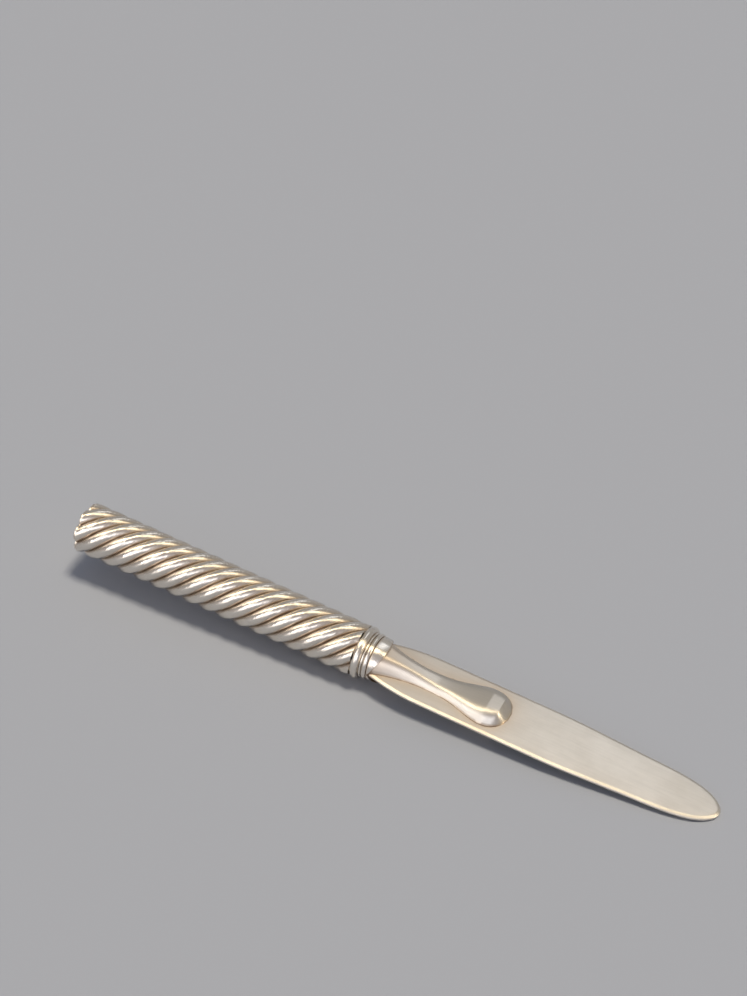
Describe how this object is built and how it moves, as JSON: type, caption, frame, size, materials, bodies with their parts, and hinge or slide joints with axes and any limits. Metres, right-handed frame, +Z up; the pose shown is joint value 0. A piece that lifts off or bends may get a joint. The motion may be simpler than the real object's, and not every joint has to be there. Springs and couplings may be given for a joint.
{
  "type": "letter opener",
  "caption": "Small silver letter opener with a hollow spirally ribbed handle, a beaded collar, waisted bolsters and a flat round-nosed blade for slitting envelopes.",
  "frame": {"origin": "on the table, under the middle of the whole opener's length and width as it lies at rest", "axes": "+Z up from the table, +X from the butt of the handle to the blade's tip, +Y across the blade, to the left when looking towards the tip"},
  "size_m": [0.1502, 0.013, 0.0164],
  "materials": {
    "blade_silver": "satin silver, fine scratches along and across the blade",
    "bolster_silver": "bright polished silver",
    "handle_silver": "bright polished silver, brown tarnish in the grooves",
    "cap_silver": "polished silver",
    "collar_silver": "polished silver, tarnish between the beads",
    "cement": "dull brown resin cement"
  },
  "bodies": {
    "root": {"blade": "blade_silver", "bolster_upper": "bolster_silver", "bolster_lower": "bolster_silver", "handle_tube": "handle_silver", "butt_cap": "cap_silver", "cement_plug": "cement", "collar_sleeve": "collar_silver", "rear_bead": "collar_silver", "reed_ring": "collar_silver", "front_bead": "collar_silver", "mouth_plate": "collar_silver"}
  },
  "joints": []
}
